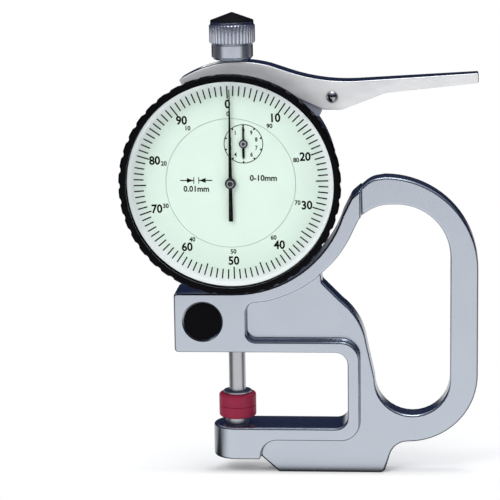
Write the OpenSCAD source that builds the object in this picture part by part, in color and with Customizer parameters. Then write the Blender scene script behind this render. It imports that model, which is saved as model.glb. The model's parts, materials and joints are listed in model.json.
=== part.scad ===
// Dial thickness gauge: a cast C-frame with a loop handle carries a dial indicator
// whose spindle closes on a fixed anvil. Millimetres, +Z up, the dial faces -Y.

/* [Frame] */
// Thickness of the C-shaped part of the frame
frame_t = 13; // [11:0.5:16]
// Thickness of the web, foot and handle
web_t = 7; // [5:0.5:9]
// Throat depth, spindle axis to back wall
throat_depth = 30; // [26:0.5:40]
// Height of the open throat
throat_h = 20.7; // [18:0.1:26]
// Corner radius of the throat
throat_r = 3.3; // [1.5:0.1:4]
// Width of the raised rim round the throat
rim_w = 3.1; // [2.6:0.1:4.4]
// Height of the lower arm
arm_h = 8.9; // [8:0.1:12]
// Height of the arm's underside above the table
arm_drop = 4.2; // [2.5:0.1:6]
// Height of the clamp block
block_h = 16.2; // [14:0.1:20]
// Reach of the clamp block left of the spindle axis
block_reach = 16.2; // [15:0.1:20]
// Left side of the recessed panel, from the spindle axis
panel_x = 3; // [2.8:0.1:6]
// Corner radius of the recessed panel
panel_r = 2.6; // [1:0.1:3]

/* [Handle] */
// Width of the handle bar
handle_w = 7.4; // [6:0.1:10]
// Width of the web behind the throat rim
back_web = 7.1; // [6:0.1:9]
// Clear width of the finger loop
loop_w = 20.1; // [18:0.1:26]
// Height of the loop's lowest point above the table
loop_floor = 16.1; // [14.5:0.1:19]
// Top of the finger loop below the dial axis
loop_top_drop = 7; // [5:0.1:9]
// Inner radius of the loop's upper right corner
loop_top_r = 14.1; // [11:0.1:16]
// Outer radius of the handle's upper right corner
handle_top_r = 24.7; // [20:0.1:28]
// Outer radius of the handle's lower right corner
heel_r = 18.6; // [16:0.1:22]
// Radius of the bulge between the web and the finger loop
bulge_r = 17; // [15:0.1:19]
// How far the bulge stays behind the web's right side
bulge_back = 2; // [1:0.1:3]
// Length of the flat the gauge stands on
foot_len = 28.4; // [24:0.1:34]
// Start of the flat right of the spindle axis
foot_x = 11.2; // [9:0.1:14]

/* [Dial case] */
// Bezel outside diameter
bezel_d = 58; // [56:0.5:60]
// Scallops round the bezel
scallops = 44; // [30:1:60]
// Depth of a scallop
scallop_depth = 0.45; // [0.2:0.05:0.6]
// Width of the black lip seen from the front
bezel_lip = 1.9; // [1.4:0.1:2.4]
// Front face of the bezel, forward of the spindle axis
bezel_front = 15.5; // [15.5:0.1:18]
// Back edge of the bezel, forward of the spindle axis
bezel_back = 7; // [6.8:0.1:7.5]
// Wall of the case
case_wall = 1.8; // [1.5:0.1:2.4]
// Depth of the case behind the spindle axis
case_back = 7; // [6:0.1:9]
// Thickness of the back cover
cover_t = 1.5; // [1:0.1:2.5]
// Thickness of the crystal
crystal_t = 1.5; // [1:0.1:1.6]
// Dial face, forward of the spindle axis
dial_front = 10.6; // [10.6:0.1:10.8]
// Thickness of the dial sheet
dial_t = 0.5; // [0.3:0.1:0.6]
// Diameter of the fixed middle of the dial
dial_centre_d = 33.9; // [32:0.1:36]
// Clearance between the bezel and the bow of the frame
cradle_gap = 1.3; // [0.8:0.1:2]
// Width of the frame bow round the bezel
bow_w = 3.1; // [2.6:0.1:4]
// Sideways shift of the bow's outer edge
bow_shift = 1.2; // [0:0.1:2]

/* [Spindle] */
// Spindle diameter
spindle_d = 4.5; // [4.2:0.1:5]
// Full stroke of the spindle
stroke = 10; // [8:0.5:10]
// Stem diameter
stem_d = 8; // [7.6:0.1:9]
// Diameter of the measuring faces
face_d = 10; // [8:0.1:12]
// Thickness of the lower measuring face
anvil_t = 3.1; // [2:0.1:4]
// Thickness of the upper measuring face
contact_t = 3.4; // [2.5:0.1:4]
// Height of the anvil holder's collar
holder_h = 1.8; // [1:0.1:3]
// Height of the contact collar
collar_h = 0.6; // [0.4:0.1:1]
// Radial running clearance of turning and sliding fits
run_gap = 0.05; // [0.02:0.01:0.08]

/* [Movement] */
// Rack pitch line, left of the spindle axis
rack_line = 1.9; // [1.8:0.05:1.95]
// Thickness of the movement plates
plate_t = 1.2; // [1:0.1:1.3]
// Thickness of the gears
gear_t = 0.8; // [0.6:0.1:1]
// Length of the main pointer from hub to tip
pointer_len = 24.6; // [22:0.1:25.4]
// Length of the main pointer's tail
pointer_tail = 10; // [6:0.1:12]

/* [Knob and lever] */
// Diameter of the knurled part of the knob
knob_d = 12.1; // [11:0.1:14]
// Height of the knurl
knurl_h = 5; // [3:0.1:6]
// Height of the plain lower part of the knob
knob_skirt_h = 4.3; // [4:0.1:7]
// Flutes round the knurl
knurl_flutes = 40; // [30:1:48]
// Height of the cap on the knob
cap_h = 2.4; // [2:0.1:4]
// Distance of the lever pivot outside the case
pivot_out = 7.1; // [6.5:0.1:8]
// Angle of the lever pivot above the dial's three o'clock
pivot_angle = 39.5; // [36:0.5:42]
// Right end of the lever from the spindle axis
lever_end = 64.4; // [58:0.1:70]
// Width of the lever over its flanges
lever_w = 8; // [7.6:0.1:9]
// Width of the lever at its right end
lever_end_w = 5.6; // [4.5:0.1:7]
// Sheet thickness of the lever
lever_t = 0.8; // [0.6:0.05:1]
// Diameter of the rivet the lever turns on
rivet_d = 2.2; // [1.8:0.1:2.4]

/* [Clamp] */
// Diameter of the cotters that grip the stem
cotter_d = 10; // [9:0.1:11]
// How far the cotter bore cuts into the stem bore
cotter_bite = 0.45; // [0.3:0.05:0.7]
// Depth of the cotter below the frame's face
cotter_sink = 0.4; // [0:0.1:1]
// Clamp screw diameter
clamp_screw_d = 3; // [2.5:0.1:3.5]

/* [Hidden] */
$fn = 64;

// Heights of the frame, from the table up
arm_top = arm_drop + arm_h;
block_z = arm_top + throat_h;
block_top = block_z + block_h;
cradle_r = bezel_d / 2 + cradle_gap;
dial_z = block_top + cradle_r;
foot_mid = foot_x + foot_len / 2;
eps = 0.02;

// Measuring faces
anvil_z = arm_top + holder_h;
gap_z = anvil_z + anvil_t;
contact_top = gap_z + contact_t;
spindle_z = contact_top + collar_h;
spindle_r = spindle_d / 2;
guide_r = spindle_r + run_gap;
shank_r = 1.2;
stud_h = 4;
holder_shank_r = 2.5;
holder_shank_h = 6.5;
stem_foot = block_z + 1.2;
bush_len = 6;
bush_r = spindle_r + 0.75;
top_bush_r = spindle_r + 0.95;

// Clamp
cotter_r = cotter_d / 2;
cotter_at = [-(stem_d / 2 + cotter_r - cotter_bite), block_z + block_h * 0.52];
cotter_face = frame_t / 2 - cotter_sink;
cotter_split = 0.8;
clamp_r = clamp_screw_d / 2;
clamp_head_r = clamp_r + 1.1;
clamp_head_h = 2.4;
clamp_tip = cotter_face - 1.6;

// Loop handle
loop_left = throat_depth + back_web;
loop_right = loop_left + loop_w;
loop_r = loop_w / 2;
loop_top = dial_z - loop_top_drop;
handle_x = loop_right + handle_w;
handle_top = loop_top + handle_w;
heel_z = loop_floor - handle_w;
toe_x = foot_x - 4.6;
bow_c = [bow_shift, dial_z];
bow_r = cradle_r + bow_w;
step_x = bow_r + 0.3;
tip_angle = 49;
tip = bow_c + bow_r * [cos(tip_angle), -sin(tip_angle)];

// Dial case, in heights forward of the spindle axis
bezel_r = bezel_d / 2;
bezel_in = bezel_r - bezel_lip;
bezel_gap = 0.08;
bezel_draft = 0.9;
case_r = bezel_in - bezel_gap;
case_in = case_r - case_wall;
dial_back = dial_front - dial_t;
rim_gap = 0.3;
case_front = dial_back - rim_gap;
plate_gap = 0.15;
crystal_front = bezel_front - 1.5;
crystal_back = crystal_front - crystal_t;
crystal_r = bezel_in + 0.8;
wire_r = 0.35;
wire_ring_r = case_r - 0.2;
wire_h = bezel_back + 1.45;
cover_spigot = 0.8;
boss_ring_r = case_in - 1.9;
boss_r = 2.4;
boss_angles = [45, 135, 225, 315];
screw_r = 0.8;

// Movement: the rack pinion turns once in 10 mm and the centre pinion ten times as fast
rack_teeth = 16;
gear_teeth = 100;
centre_teeth = 10;
turn_travel = 10;
rack_pitch = turn_travel / rack_teeth;
module_mm = rack_pitch / PI;
rack_pinion_r = module_mm * rack_teeth / 2;
gear_r = module_mm * gear_teeth / 2;
centre_r = module_mm * centre_teeth / 2;
tooth_add = 0.16;
tooth_ded = 0.24;
tooth_w = 0.25;
arbor_dx = rack_line + rack_pinion_r;
arbor_dy = sqrt(pow(gear_r + centre_r, 2) - pow(arbor_dx, 2));
rack_arbor = [-arbor_dx, -arbor_dy];
takeup_at = [arbor_dx, arbor_dy];
mesh_angle = atan2(arbor_dy, arbor_dx);
plate_back = spindle_r + 0.65;
plate_front = plate_back + plate_t;
front_plate_front = dial_back;
front_plate_back = front_plate_front - plate_t;
gear_h = plate_front + 0.5;
pinion_half = 1.6;
arbor_r = 0.6;
pivot_r = 0.27;
jewel_r = 1;
jewel_bore = pivot_r + run_gap;
neck_r = 0.5;
neck_bore = neck_r + run_gap;
front_plate_r = 16;
pillar_ring_r = 13.8;
pillar_r = 1.5;
pillar_angles = [10, 135, 190, 315];
window_ring_r = 19.5;
pointer_h = dial_front + 0.7;
pointer_t = 0.25;
hub_r = 1.45;
counter_h = dial_front + 0.2;
counter_t = 0.15;
cock_h = pinion_half + 1;
cock_t = 1;
cock_leg_x = rack_arbor.x - 6;
cock_half = 2.6;
cock_screw_r = 0.5;
cock_screw_bite = 0.8;
rack_z = dial_z + rack_arbor.y;
rack_end = 3;
rack_low = rack_z - stroke - rack_end;
rack_high = rack_z + rack_end;

// Hairspring, a flat spiral about the take-up arbor
hair_turns = 7;
hair_in = 1.1;
hair_out = 4.6;
hair_t = 0.14;
hair_steps = 20;
hair_from = front_plate_back - 1.7;
hair_to = front_plate_back - 1.1;
hair_end = takeup_at + [hair_out, 0];

// Guide pin, its slotted guide, and the return spring beside the spindle
pin_r = 0.75;
pin_y = 4;
guide_x = spindle_r + 1.6;
guide_w = 2.2;
anchor_y = -19.5;
anchor_r = 0.8;
anchor_head_r = 1.3;
spring_x = 7.8;
spring_r = 1.3;
spring_wire = 0.22;
spring_turns = 13;
spring_from = anchor_y + 1.35;
spring_to = pin_y - pin_r - 0.3 - spring_wire;
coil_steps = 12;
wire_sides = 6;

// Knob and lever, above the dial axis
web_c = [2.2, 1.25];
web_r = cradle_r - 0.55;
web_top = web_c.y + web_r;
knob_z = dial_z + web_top + 0.3;
skirt_r = knob_d / 2 - 0.6;
knob_neck_r = spindle_r - 0.25;
knurl_z = knob_z + knob_skirt_h;
knob_top = knurl_z + knurl_h;
cap_z = knob_top + 0.7;
cap_stub_r = 3;
pivot = (case_r + pivot_out) * [cos(pivot_angle), sin(pivot_angle)];
case_air = 0.5;
lever_left = 118;
web_left = 122.5;
lever_bend = 74.5;
lever_bend_r = 48;
crook = pivot + [-2.6, 3.6];
tail_top = pivot.y + 5.9;
tail_low = pivot.y + 3.3;
bracket_w = lever_w - 2 * lever_t - 0.8;
bracket_top = pivot.y + 2.2;
bracket_screw_len = 3;
bracket_screw_x = case_r * cos(56);

function unit(v) = v / norm(v);

// Points of an arc about c, from angle a0 to a1
function arc(c, r, a0, a1, n = 12) =
    [for (i = [0 : n]) let (a = a0 + (a1 - a0) * i / n) [c.x + r * cos(a), c.y + r * sin(a)]];

// Points that round the corner q between p and s
function corner(p, q, s, r, n = 7) =
    let (
        u = unit(p - q),
        v = unit(s - q),
        half = acos(u * v) / 2,
        c = q + unit(u + v) * r / sin(half),
        from = q + u * r / tan(half) - c,
        to = q + v * r / tan(half) - c,
        a0 = atan2(from.y, from.x),
        turn = atan2(from.x * to.y - from.y * to.x, from * to)
    )
    arc(c, r, a0, a0 + turn, n);

function flat(p) = [p.x, p.y];

// A path of [x, y] points and [x, y, r] corners, with each corner rounded
function rounded(path) =
    let (n = len(path))
    [for (i = [0 : n - 1])
        let (p = path[i])
        each (len(p) == 2 ? [p]
            : corner(flat(path[(i + n - 1) % n]), flat(p), flat(path[(i + 1) % n]), p[2]))];

// Draws a front-view outline in XZ and gives it thickness t about the mid-plane
module slab(t) {
    translate([0, t / 2, 0])
        rotate([90, 0, 0])
            linear_extrude(t)
                children();
}

// Places children in the dial's own frame: x right, y up, z towards the reader
module at_dial() {
    translate([0, 0, dial_z])
        rotate([90, 0, 0])
            children();
}

// A round bar in the dial's frame between two heights
module bar(r, from, to, at = [0, 0]) {
    translate([at.x, at.y, from])
        cylinder(r = r, h = to - from);
}

// A round upright bar on the spindle axis between two heights
module upright(r, from, to) {
    translate([0, 0, from])
        cylinder(r = r, h = to - from);
}

// Outline of a spur gear with straight-flanked teeth, one tooth on the +X axis
module gear_outline(teeth, pitch_r, add, ded, width) {
    half = width / 2 / pitch_r * 180 / PI;
    polygon([for (i = [0 : teeth - 1], k = [[-1.55, -ded], [-0.55, add], [0.55, add], [1.55, -ded]])
        let (a = 360 / teeth * i + k[0] * half, r = pitch_r + k[1])
        [r * cos(a), r * sin(a)]]);
}

// Outline of the whole frame, seen from the front
module frame_outline() {
    top_c = [handle_x - handle_top_r, handle_top - handle_top_r];
    heel_c = [handle_x - heel_r, heel_z + heel_r];
    foot_end = foot_x + foot_len;
    polygon(rounded(concat(
        [[-block_reach, block_z, 1], [-block_reach, block_top, 1]],
        arc([0, dial_z], cradle_r, -90, -18, 16),
        [[step_x - 2.5, dial_z - 4.6, 2.6], [step_x + 2.6, handle_top - 0.6, 6]],
        arc(top_c, handle_top_r, 90, 0, 22),
        arc(heel_c, heel_r, 0, -90, 18),
        [[foot_end + 2.6, heel_z - 0.2, 5], [foot_end, 0, 1.6], [foot_x, 0, 1]],
        [[toe_x, arm_drop], [0, arm_drop], [0, arm_top]],
        [[throat_depth, arm_top, throat_r], [throat_depth, block_z, throat_r]])));
}

// Outline of the finger loop's opening; its left side is the bow's outer edge
module loop_outline() {
    low_c = [loop_left + loop_r, loop_floor + loop_r];
    high_c = [loop_right - loop_top_r, loop_top - loop_top_r];
    roof_r = loop_top_r * 0.78;
    roof_c = [high_c.x - 1.6, loop_top - roof_r];
    bulge_c = [loop_left - bulge_back - bulge_r, block_z];
    polygon(rounded(concat(
        arc(low_c, loop_r, 180, 360, 20),
        arc(high_c, loop_top_r, 0, 90, 14),
        arc(roof_c, roof_r, 95, 126, 6),
        [[step_x - 0.4, loop_top - 3.3, 2.2]],
        arc(bow_c, bow_r, -23, -42, 8),
        [[tip.x - 0.2, tip.y - 0.1, 1.4], [tip.x + 0.1, tip.y - 2.5, 1.6]],
        [[tip.x + 3.1, tip.y - 5.5]],
        arc(bulge_c, bulge_r, 52, 8, 12))));
}

// Outline of what is cut back to the web: it runs out past the frame and into the loop
module recess_outline() {
    panel_turn = panel_x + 2 * panel_r;
    panel_top = dial_z - sqrt(pow(bow_r, 2) - pow(panel_turn - bow_shift, 2));
    bow_start = atan2(panel_top - dial_z, panel_turn - bow_shift);
    rim_x = throat_depth + rim_w;
    rim_top = block_z + rim_w;
    rim_floor = arm_top - rim_w - 0.5;
    rim_r = throat_r + rim_w / 2;
    past = 2;
    polygon(rounded(concat(
        [[step_x, handle_top + past], [step_x, loop_top - 6], [tip.x + 4, tip.y]],
        arc(bow_c, bow_r, 1 - tip_angle, bow_start, 12),
        [[panel_x, panel_top - panel_r * 0.2, panel_r], [panel_x, rim_top, panel_r]],
        [[rim_x, rim_top, rim_r], [rim_x, rim_floor, rim_r], [toe_x - 0.1, rim_floor, 4.4]],
        [[toe_x - 0.1, -past], [handle_x + past, -past], [handle_x + past, handle_top + past]])));
}

module frame() {
    cut = (frame_t - web_t) / 2 + 1;
    color("lightsteelblue")
        difference() {
            union() {
                slab(frame_t)
                    frame_outline();
                arm_nose();
            }
            slab(frame_t + 2)
                loop_outline();
            for (side = [-1, 1])
                translate([0, side * (web_t + cut) / 2, 0])
                    slab(cut)
                        recess_outline();
            upright(stem_d / 2 + eps, block_z - 1, block_top + 1);
            cotter_bore();
            upright(holder_shank_r, arm_top - holder_shank_h, arm_top + 1);
        }
}

// Round end of the lower arm
module arm_nose() {
    nose_r = frame_t / 2;
    translate([0, 0, arm_drop])
        linear_extrude(arm_h)
            polygon(concat(arc([0, 0], nose_r, 90, 270, 24), [[3, -nose_r], [3, nose_r]]));
}

// Cross bore for the cotters, with a chamfer at each face
module cotter_bore() {
    chamfer = 0.5;
    translate([cotter_at.x, 0, cotter_at.y])
        rotate([90, 0, 0]) {
            cylinder(r = cotter_r, h = frame_t + 2, center = true);
            for (side = [0, 180])
                rotate([0, side, 0])
                    translate([0, 0, frame_t / 2 - chamfer])
                        cylinder(r1 = cotter_r, r2 = cotter_r + 2 * chamfer, h = 2 * chamfer);
        }
}

// One cotter: a plug with the stem's round cut in its flank; children are cut out of it
module cotter(from, to) {
    difference() {
        translate([cotter_at.x, 0, cotter_at.y])
            rotate([90, 0, 0])
                bar(cotter_r - eps, from, to);
        upright(stem_d / 2 + eps, block_z, block_top);
        translate([cotter_at.x, 0, cotter_at.y])
            rotate([90, 0, 0])
                children();
    }
}

module front_cotter() {
    color("black")
        cotter(cotter_split, cotter_face)
            bar(clamp_r, 0, clamp_tip);
}

module rear_cotter() {
    color("dimgray")
        cotter(-cotter_face, -cotter_split) {
            bar(clamp_r + run_gap, -cotter_face - 1, 0);
            bar(clamp_head_r + run_gap, -cotter_face - 1, clamp_head_h - cotter_face);
        }
}

module clamp_screw() {
    socket_r = clamp_r * 0.9;
    color("gray")
        translate([cotter_at.x, 0, cotter_at.y])
            rotate([90, 0, 0])
                difference() {
                    union() {
                        bar(clamp_r, clamp_head_h - cotter_face - 0.1, clamp_tip);
                        bar(clamp_head_r, -cotter_face, clamp_head_h - cotter_face);
                    }
                    translate([0, 0, -cotter_face - 1])
                        cylinder(r = socket_r, h = clamp_head_h * 0.6 + 1, $fn = 6);
                }
}

// Holder of the lower measuring face: a short neck with a shank in the arm
module anvil_holder() {
    color("silver") {
        upright(holder_shank_r + 0.8, arm_top, anvil_z);
        upright(holder_shank_r, arm_top - holder_shank_h, arm_top + 0.1);
        upright(shank_r, anvil_z - 0.1, anvil_z + anvil_t * 0.6);
    }
}

// A round red face with one rounded rim, pierced for the holder's stud
module measuring_face(t) {
    rim = 0.7;
    rotate_extrude()
        polygon(concat(
            [[0, 0], [face_d / 2, 0]],
            arc([face_d / 2 - rim, t - rim], rim, 0, 90, 8),
            [[shank_r, t], [shank_r, t * 0.4], [0, t * 0.4]]));
}

module anvil_face() {
    color("firebrick")
        translate([0, 0, gap_z])
            mirror([0, 0, 1])
                measuring_face(anvil_t);
}

module contact_face() {
    color("firebrick")
        translate([0, 0, gap_z])
            measuring_face(contact_t);
}

module contact_collar() {
    color("silver") {
        upright(face_d / 2 - 1.2, contact_top, spindle_z);
        upright(shank_r, gap_z + contact_t * 0.4, spindle_z + stud_h);
    }
}

// Stem and bushes that guide the spindle
module stem() {
    color("silver")
        difference() {
            upright(stem_d / 2, stem_foot, dial_z - case_in);
            upright(bush_r, stem_foot - 1, dial_z);
        }
}

module stem_bush() {
    color("peru")
        difference() {
            upright(bush_r, stem_foot, stem_foot + bush_len);
            upright(guide_r, stem_foot - 1, stem_foot + bush_len + 1);
        }
}

module upper_bush() {
    collar = 0.7;
    color("peru")
        difference() {
            union() {
                upright(top_bush_r, dial_z + case_in, dial_z + case_r);
                upright(top_bush_r - 0.3, dial_z + case_r - 0.1, dial_z + case_r + collar);
            }
            upright(guide_r, dial_z, dial_z + case_r + collar + 1);
        }
}

// Screw places on the case bosses
module at_bosses() {
    for (a = boss_angles)
        rotate(a)
            translate([boss_ring_r, 0, 0])
                children();
}

module indicator_case() {
    groove = wire_r + 0.05;
    color("silver")
        difference() {
            at_dial()
                difference() {
                    union() {
                        difference() {
                            bar(case_r, -case_back, case_front);
                            bar(case_in, -case_back - 1, case_front + 1);
                        }
                        at_bosses()
                            bar(boss_r, cover_spigot - case_back, plate_back);
                    }
                    at_bosses() {
                        bar(screw_r, -case_back - 1, cover_spigot + 2.2 - case_back);
                        bar(screw_r, plate_back - 3, plate_back + 1);
                    }
                    translate([0, 0, wire_h])
                        rotate_extrude()
                            translate([wire_ring_r - wire_r, -groove])
                                square([3, 2 * groove]);
                }
            upright(stem_d / 2, dial_z - case_r - 1, dial_z - case_in + 1);
            upright(top_bush_r, dial_z + case_in - 1, dial_z + case_r + 1);
            at_bracket_screws()
                cylinder(r = screw_r, h = 2 * bracket_screw_len, center = true);
        }
}

// Back cover, with a spigot that sits on the case bosses
module back_cover() {
    color("silver")
        at_dial()
            difference() {
                union() {
                    bar(case_r, -case_back - cover_t, -case_back);
                    bar(case_in - run_gap, -case_back - 0.1, cover_spigot - case_back);
                }
                at_bosses()
                    bar(screw_r + run_gap, -case_back - cover_t - 1, cover_spigot - case_back + 1);
            }
}

// A small screw with a slotted cheese head, head at the top, drawn along -z
module small_screw(len, head_r = 1.5, head_h = 0.7) {
    slot = 0.35;
    difference() {
        union() {
            cylinder(r = screw_r, h = 2 * len, center = true);
            cylinder(r = head_r, h = head_h);
        }
        translate([-head_r - 1, -slot / 2, head_h * 0.4])
            cube([2 * head_r + 2, slot, head_h + 2 * len]);
        translate([0, 0, head_h])
            cylinder(r = head_r + 1, h = 2 * len);
    }
}

module cover_screws() {
    color("gray")
        at_dial()
            at_bosses()
                translate([0, 0, -case_back - cover_t])
                    rotate([180, 0, 0])
                        small_screw(cover_t + cover_spigot + 1.6);
}

module plate_screws() {
    color("gray")
        at_dial()
            at_bosses()
                translate([0, 0, plate_front])
                    small_screw(plate_t + 2.4);
}

// Movement plates, pillars and jewels
module middle_plate() {
    window_r = 3;
    color("goldenrod")
        at_dial()
            difference() {
                bar(case_in - plate_gap, plate_back, plate_front);
                bar(jewel_r, plate_back - 1, plate_front + 1);
                bar(jewel_r, plate_back - 1, plate_front + 1, takeup_at);
                bar(arbor_r + 0.4, plate_back - 1, plate_front + 1, rack_arbor);
                at_bosses()
                    bar(screw_r + run_gap, plate_back - 1, plate_front + 1);
                for (a = [0 : 90 : 270])
                    bar(window_r, plate_back - 1, plate_front + 1, window_ring_r * [cos(a), sin(a)]);
                at_cock_screws()
                    bar(cock_screw_r, plate_back - 1, plate_back + cock_screw_bite);
            }
}

module front_plate() {
    color("goldenrod")
        at_dial()
            difference() {
                bar(front_plate_r, front_plate_back, front_plate_front);
                for (at = [[0, 0], takeup_at, rack_arbor])
                    bar(jewel_r, front_plate_back - 1, front_plate_front + 1, at);
            }
}

module plate_pillars() {
    color("goldenrod")
        at_dial()
            for (a = pillar_angles)
                bar(pillar_r, plate_front, front_plate_back, pillar_ring_r * [cos(a), sin(a)]);
}

// One pierced jewel
module jewel(bore, from, to, at) {
    difference() {
        bar(jewel_r, from, to, at);
        bar(bore, from - 1, to + 1, at);
    }
}

module pivot_jewels() {
    color("crimson")
        at_dial() {
            jewel(jewel_bore, plate_back, plate_front, [0, 0]);
            jewel(jewel_bore, plate_back, plate_front, takeup_at);
            jewel(jewel_bore, front_plate_back, front_plate_front, rack_arbor);
            jewel(neck_bore, front_plate_back, front_plate_front, [0, 0]);
            jewel(neck_bore, front_plate_back, front_plate_front, takeup_at);
        }
}

// Bracket behind the middle plate that carries the rear end of the rack pinion
module pinion_cock() {
    tail_x = -spindle_r - 0.4;
    leg = 2.4;
    color("goldenrod")
        at_dial()
            difference() {
                translate([0, rack_arbor.y, 0])
                    rotate([90, 0, 0])
                        linear_extrude(2 * cock_half, center = true)
                            polygon([[cock_leg_x - 4, plate_back], [cock_leg_x - 4, plate_back - 1],
                                [cock_leg_x - leg, plate_back - 1], [cock_leg_x - leg, -cock_h - cock_t],
                                [tail_x, -cock_h - cock_t], [tail_x, -cock_h], [cock_leg_x, -cock_h],
                                [cock_leg_x, plate_back]]);
                bar(jewel_bore, -cock_h - cock_t - 1, 0, rack_arbor);
                at_cock_screws()
                    bar(cock_screw_r, plate_back - 2, plate_back + 1);
            }
}

module at_cock_screws() {
    for (side = [-1, 1])
        translate([cock_leg_x - 3.2, rack_arbor.y + side * 1.5, 0])
            children();
}

module cock_screws() {
    color("gray")
        at_dial()
            at_cock_screws() {
                bar(cock_screw_r, plate_back - 1.1, plate_back + cock_screw_bite);
                bar(cock_screw_r + 0.35, plate_back - 1.5, plate_back - 1);
            }
}

function hair_radius(turn) = hair_in + (hair_out - hair_in) * turn / hair_turns;

function hair_edge(side) =
    [for (i = [0 : hair_turns * hair_steps])
        let (turn = i / hair_steps, r = hair_radius(turn) + side * hair_t / 2)
        [r * cos(360 * turn), r * sin(360 * turn)]];

function reversed(list) = [for (i = [len(list) - 1 : -1 : 0]) list[i]];

module hairspring() {
    color("steelblue")
        at_dial()
            translate([takeup_at.x, takeup_at.y, hair_from])
                linear_extrude(hair_to - hair_from)
                    polygon(concat(hair_edge(1), reversed(hair_edge(-1))));
}

module hairspring_stud() {
    stud_r = 0.35;
    color("goldenrod")
        at_dial()
            bar(stud_r, hair_from, front_plate_back, hair_end + [stud_r + hair_t / 2, 0]);
}

// Dial sheets
module dial_centre() {
    color("honeydew")
        at_dial()
            difference() {
                bar(dial_centre_d / 2, dial_back, dial_front);
                bar(neck_r + 0.4, dial_back - 1, dial_front + 1);
                bar(neck_r + 0.2, dial_back - 1, dial_front + 1, takeup_at);
            }
}

module dial_ring() {
    color("honeydew")
        at_dial()
            difference() {
                bar(bezel_in, dial_back, dial_front);
                bar(dial_centre_d / 2 + 0.1, dial_back - 1, dial_front + 1);
            }
}

// Wire ring that holds the bezel on the case
module bezel_wire() {
    color("gray")
        at_dial()
            translate([0, 0, wire_h])
                rotate_extrude()
                    translate([wire_ring_r, 0])
                        circle(r = wire_r, $fn = 24);
}

// Bezel with its scalloped edge, lip, crystal seat and wire groove
module bezel() {
    notch_r = 1.1;
    edge = 0.6;
    groove = wire_r + 0.12;
    color("black")
        at_dial()
            difference() {
                intersection() {
                    translate([0, 0, bezel_back])
                        linear_extrude(bezel_front - bezel_back)
                            difference() {
                                circle(r = bezel_r);
                                for (i = [1 : scallops])
                                    rotate(360 / scallops * i)
                                        translate([bezel_r + notch_r - scallop_depth, 0])
                                            circle(r = notch_r, $fn = 24);
                            }
                    rotate_extrude()
                        polygon([[0, bezel_back], [bezel_r - bezel_draft, bezel_back],
                            [bezel_r, bezel_front - 3 * edge], [bezel_r, bezel_front - edge],
                            [bezel_r - edge, bezel_front], [0, bezel_front]]);
                }
                bar(bezel_in, bezel_back - 1, bezel_front + 1);
                bar(crystal_r, crystal_back, crystal_front);
                translate([0, 0, wire_h])
                    rotate_extrude()
                        translate([bezel_in - 1, -groove])
                            square([1 + wire_r, 2 * groove]);
            }
}

module crystal() {
    color("white", 0.3)
        at_dial()
            bar(crystal_r, crystal_back, crystal_front);
}

// Return spring: a wire coil from the anchor post to the guide pin
function coil_point(i) =
    let (a = 360 * i / coil_steps, t = i / (spring_turns * coil_steps))
    [spring_x + spring_r * cos(a), spring_from + (spring_to - spring_from) * t, spring_r * sin(a)];

function coil_ring(i) =
    let (
        a = 360 * i / coil_steps,
        out = [cos(a), 0, sin(a)]
    )
    [for (k = [0 : wire_sides - 1])
        let (b = 360 * k / wire_sides)
        coil_point(i) + spring_wire * (out * cos(b) + [0, sin(b), 0])];

module return_spring() {
    rings = spring_turns * coil_steps;
    sides = [for (i = [0 : rings - 1], k = [0 : wire_sides - 1])
        let (a = i * wire_sides + k, b = i * wire_sides + (k + 1) % wire_sides)
        each [[a, b, b + wire_sides], [a, b + wire_sides, a + wire_sides]]];
    first = [for (k = [1 : wire_sides - 2]) [0, k + 1, k]];
    end = rings * wire_sides;
    last = [for (k = [1 : wire_sides - 2]) [end, end + k, end + k + 1]];
    color("silver")
        at_dial()
            polyhedron([for (i = [0 : rings]) each coil_ring(i)], concat(sides, first, last));
}

module spring_anchor() {
    color("gray")
        at_dial() {
            bar(anchor_r, -1.8, plate_back, [spring_x, anchor_y]);
            bar(anchor_head_r, -2.2, -1.7, [spring_x, anchor_y]);
        }
}

// Guide pin in the spindle, and the slotted guide it slides in
module guide_pin() {
    color("gray")
        at_dial()
            translate([0, pin_y, 0])
                rotate([0, 90, 0])
                    cylinder(r = pin_r, h = spring_x + 0.9);
}

module spindle_guide() {
    slot = pin_r + 0.1;
    wall = 0.9;
    color("goldenrod")
        at_dial()
            translate([guide_x, pin_y, 0])
                difference() {
                    translate([0, -slot - wall, -slot - wall])
                        cube([guide_w, stroke + 2 * (slot + wall), slot + wall + plate_back]);
                    translate([-1, -slot, -slot])
                        cube([guide_w + 2, stroke + 2 * slot, 2 * slot]);
                }
}

// Gaps between the rack teeth in the spindle's left side
module rack_cut() {
    tip = -rack_line - tooth_add;
    root = -rack_line + tooth_ded;
    gap_tip = rack_pitch - tooth_w * 0.55;
    gap_root = rack_pitch - tooth_w * 1.55;
    teeth = floor((rack_high - rack_z) / rack_pitch);
    low_teeth = floor((rack_z - rack_low) / rack_pitch);
    translate([-spindle_d, -spindle_d, rack_low])
        cube([spindle_d + tip, 2 * spindle_d, rack_high - rack_low]);
    translate([0, spindle_d, rack_z])
        rotate([90, 0, 0])
            linear_extrude(2 * spindle_d)
                for (i = [-low_teeth : teeth])
                    translate([0, i * rack_pitch])
                        polygon([[tip - 0.1, -gap_tip / 2], [tip, -gap_tip / 2], [root, -gap_root / 2],
                            [root, gap_root / 2], [tip, gap_tip / 2], [tip - 0.1, gap_tip / 2]]);
}

module spindle() {
    color("gainsboro")
        difference() {
            union() {
                upright(spindle_r, spindle_z, knob_z);
                upright(knob_neck_r, knob_z - 0.1, knurl_z + 1);
            }
            upright(shank_r, spindle_z - 1, spindle_z + stud_h);
            rack_cut();
            at_dial()
                translate([0, pin_y, 0])
                    rotate([0, 90, 0])
                        cylinder(r = pin_r, h = spindle_d);
        }
}

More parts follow.
